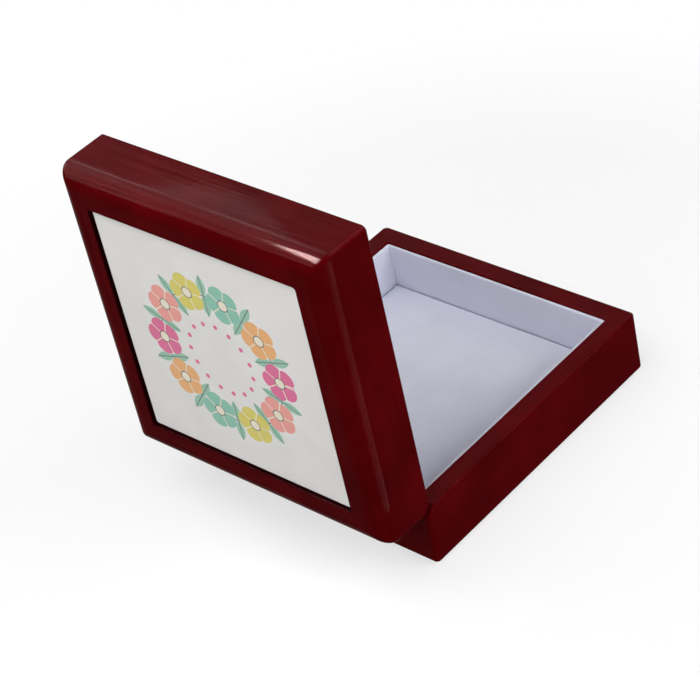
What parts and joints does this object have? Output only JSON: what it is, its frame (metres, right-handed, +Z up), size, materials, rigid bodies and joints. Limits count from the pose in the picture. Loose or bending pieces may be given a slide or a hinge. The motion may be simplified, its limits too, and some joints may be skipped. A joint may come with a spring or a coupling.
{
  "type": "keepsake box",
  "caption": "Square lacquered wooden box with a velvet lining and a hinged lid that holds an inset ceramic tile.",
  "frame": {"origin": "centre of the underside, at the face that rests on a table", "axes": "+Z up; -Y is the front of the box, +Y the hinged back, +X the right side seen from the front"},
  "size_m": [0.1388, 0.1635, 0.1662],
  "materials": {
    "lacquered_wood": "dark red gloss lacquer over fine-grained wood",
    "glazed_tile": null,
    "velvet_lining": "pale grey-blue short-pile velvet",
    "base_felt": "black wool felt",
    "brass": "polished brass",
    "adhesive": "white foam mounting tape"
  },
  "bodies": {
    "base": {"base_front_wall": "lacquered_wood", "base_back_wall": "lacquered_wood", "base_left_wall": "lacquered_wood", "base_right_wall": "lacquered_wood", "base_bottom_panel": "lacquered_wood", "base_felt": "base_felt", "base_front_lining": "velvet_lining", "base_back_lining": "velvet_lining", "base_left_lining": "velvet_lining", "base_right_lining": "velvet_lining", "base_floor_pad": "velvet_lining", "left_hinge_base_leaf": "brass", "right_hinge_base_leaf": "brass", "left_hinge_pin": "brass", "right_hinge_pin": "brass", "base_hinge_screws": "brass"},
    "lid": {"lid_front_rail": "lacquered_wood", "lid_back_rail": "lacquered_wood", "lid_left_rail": "lacquered_wood", "lid_right_rail": "lacquered_wood", "lid_top_panel": "lacquered_wood", "ceramic_tile": "glazed_tile", "tile_adhesive": "adhesive", "lid_front_lining": "velvet_lining", "lid_back_lining": "velvet_lining", "lid_left_lining": "velvet_lining", "lid_right_lining": "velvet_lining", "lid_ceiling_pad": "velvet_lining", "left_hinge_lid_leaf": "brass", "right_hinge_lid_leaf": "brass", "lid_hinge_screws": "brass"}
  },
  "joints": [
    {"name": "lid_hinge", "type": "hinge", "parent": "base", "child": "lid", "pos_m": [0, 0.06695, 0.02975], "axis": [1, 0, 0], "range_deg": [0, 90]}
  ]
}
